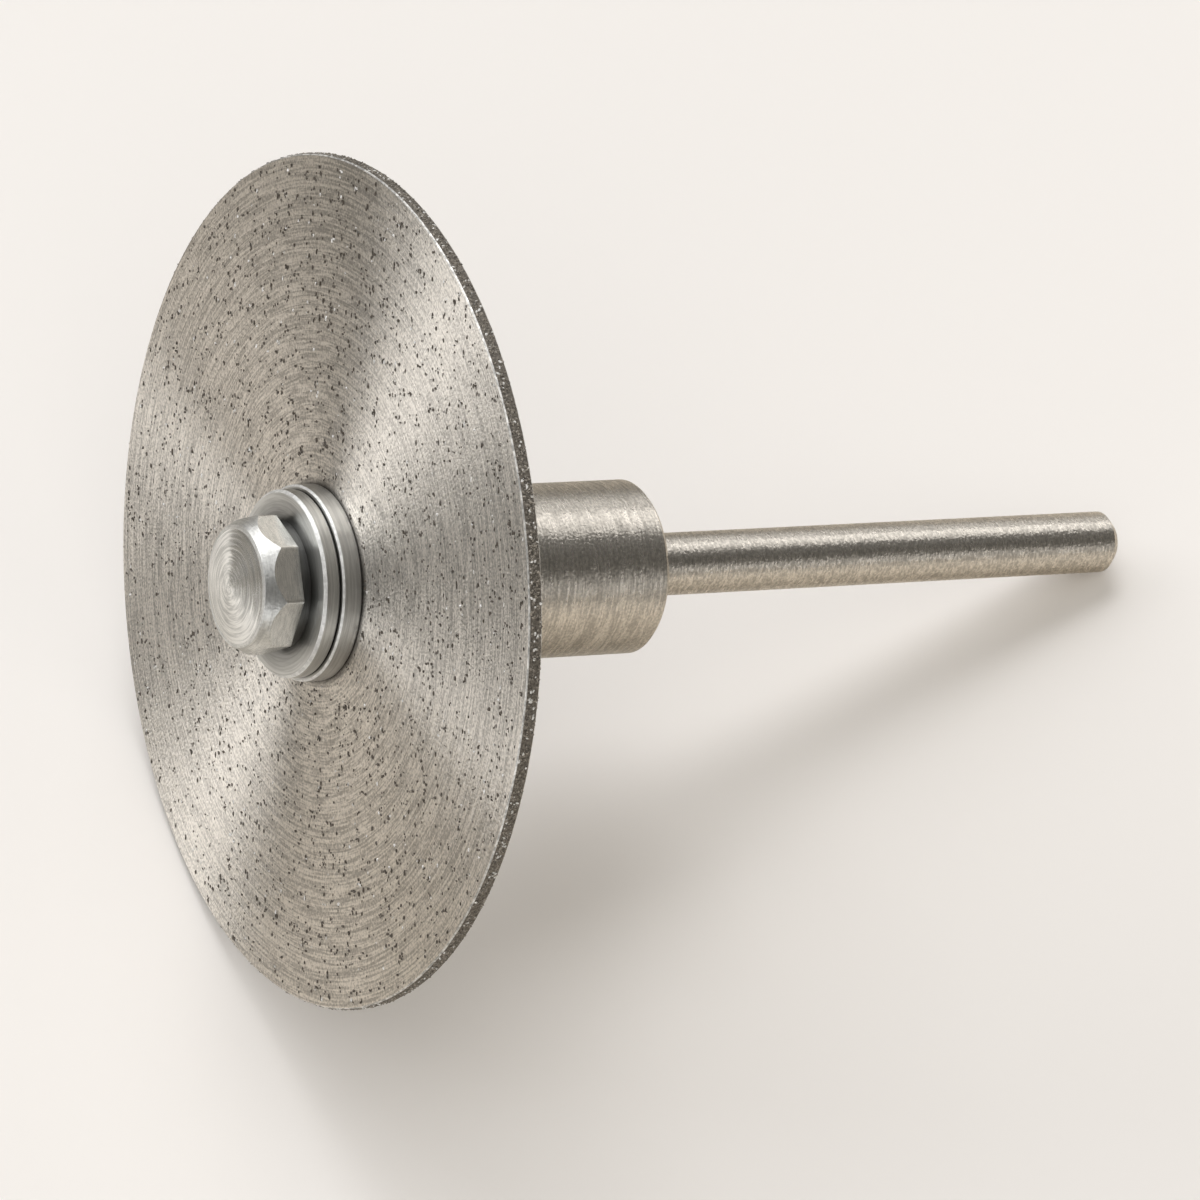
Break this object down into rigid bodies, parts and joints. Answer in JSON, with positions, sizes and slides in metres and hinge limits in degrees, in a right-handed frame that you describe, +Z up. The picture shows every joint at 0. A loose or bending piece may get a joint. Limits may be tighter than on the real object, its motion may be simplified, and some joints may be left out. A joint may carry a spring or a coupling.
{
  "type": "diamond grout removal blade",
  "caption": "Thin round diamond-plated steel disc clamped by a chamfered screw and stacked washers to the collar of a slim straight-shank mandrel, lying on its rim and shank end.",
  "frame": {"origin": "on the surface it lies on, under the middle of its bounding box", "axes": "+Z up from that surface; +X along the blade from the disc towards the free end of the shank, as seen from above; the common axis of all pieces lies in the XZ plane and leans down towards +X"},
  "size_m": [0.049, 0.04, 0.037],
  "materials": {
    "mandrel_steel": "turned and nickel plated, fine lines round the axis",
    "diamond_plating": "nickel plating with diamond grit, fine circular lines, dark grit on the rim",
    "washer_steel": "turned bright steel with bevelled edges",
    "screw_steel": "turned and milled bright steel"
  },
  "bodies": {
    "root": {"mandrel": "mandrel_steel", "diamond_disc": "diamond_plating", "lower_washer": "washer_steel", "upper_washer": "washer_steel", "clamp_screw": "screw_steel"}
  },
  "joints": []
}
